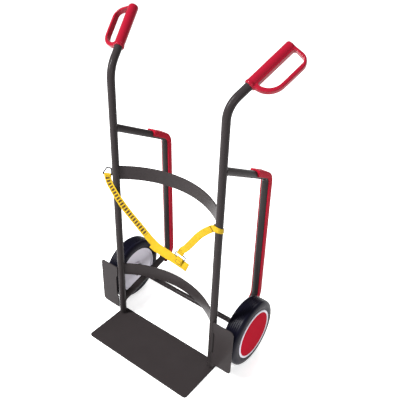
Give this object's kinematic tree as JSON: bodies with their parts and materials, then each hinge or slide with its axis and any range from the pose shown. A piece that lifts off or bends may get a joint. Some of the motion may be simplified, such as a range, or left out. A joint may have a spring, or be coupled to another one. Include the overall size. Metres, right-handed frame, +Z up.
{
  "type": "hand truck",
  "caption": "Upright hand truck with a bent-tube frame, fixed toe plate, bowed cross bars, guarded handle grips, stair skids, covered wheels and a webbing load strap.",
  "frame": {"origin": "on the underside of the toe plate, midway between the feet of the two uprights", "axes": "+Z up along the uprights, +Y towards the wheels and the person pushing, +X towards the right-hand wheel as seen from the load side"},
  "size_m": [0.7222, 0.4782, 1.2028],
  "materials": {
    "frame_paint": "satin anthracite powder coat",
    "red_plastic": "smooth red moulding with a soft sheen",
    "black_plastic": "plain black moulding",
    "tyre": "solid rubber with fine ribs around the tread",
    "rim_plastic": "pale grey moulding",
    "steel": "zinc-plated",
    "black_wire": "black enamel",
    "webbing": "woven yellow polyester webbing"
  },
  "bodies": {
    "frame": {"toe_plate": "frame_paint", "left_upright": "frame_paint", "left_rear_frame": "frame_paint", "left_guard_plate": "frame_paint", "left_axle_collar": "frame_paint", "left_skid": "red_plastic", "left_handle_grip": "red_plastic", "left_skid_rivet_1": "steel", "left_skid_rivet_2": "steel", "left_skid_rivet_3": "steel", "left_inner_washer": "steel", "left_outer_washer": "steel", "left_axle_clip": "steel", "right_upright": "frame_paint", "right_rear_frame": "frame_paint", "right_guard_plate": "frame_paint", "right_axle_collar": "frame_paint", "right_skid": "red_plastic", "right_handle_grip": "red_plastic", "right_skid_rivet_1": "steel", "right_skid_rivet_2": "steel", "right_skid_rivet_3": "steel", "right_inner_washer": "steel", "right_outer_washer": "steel", "right_axle_clip": "steel", "upper_cross_bar": "frame_paint", "lower_cross_bar": "frame_paint", "axle": "steel", "strap_eye": "black_wire", "long_strap": "webbing", "strap_ring": "black_wire", "ring_tab": "webbing", "short_strap": "webbing"},
    "left_wheel": {"left_tyre": "tyre", "left_rim": "rim_plastic", "left_hub_cap": "red_plastic", "left_hub": "black_plastic", "left_inboard_bearing": "steel", "left_outboard_bearing": "steel"},
    "right_wheel": {"right_tyre": "tyre", "right_rim": "rim_plastic", "right_hub_cap": "red_plastic", "right_hub": "black_plastic", "right_inboard_bearing": "steel", "right_outboard_bearing": "steel"}
  },
  "joints": [
    {"name": "left_wheel_spin", "type": "hinge", "parent": "frame", "child": "left_wheel", "pos_m": [-0.29, 0.129, 0.131], "axis": [1, 0, 0], "continuous": true},
    {"name": "right_wheel_spin", "type": "hinge", "parent": "frame", "child": "right_wheel", "pos_m": [0.29, 0.129, 0.131], "axis": [1, 0, 0], "continuous": true}
  ]
}
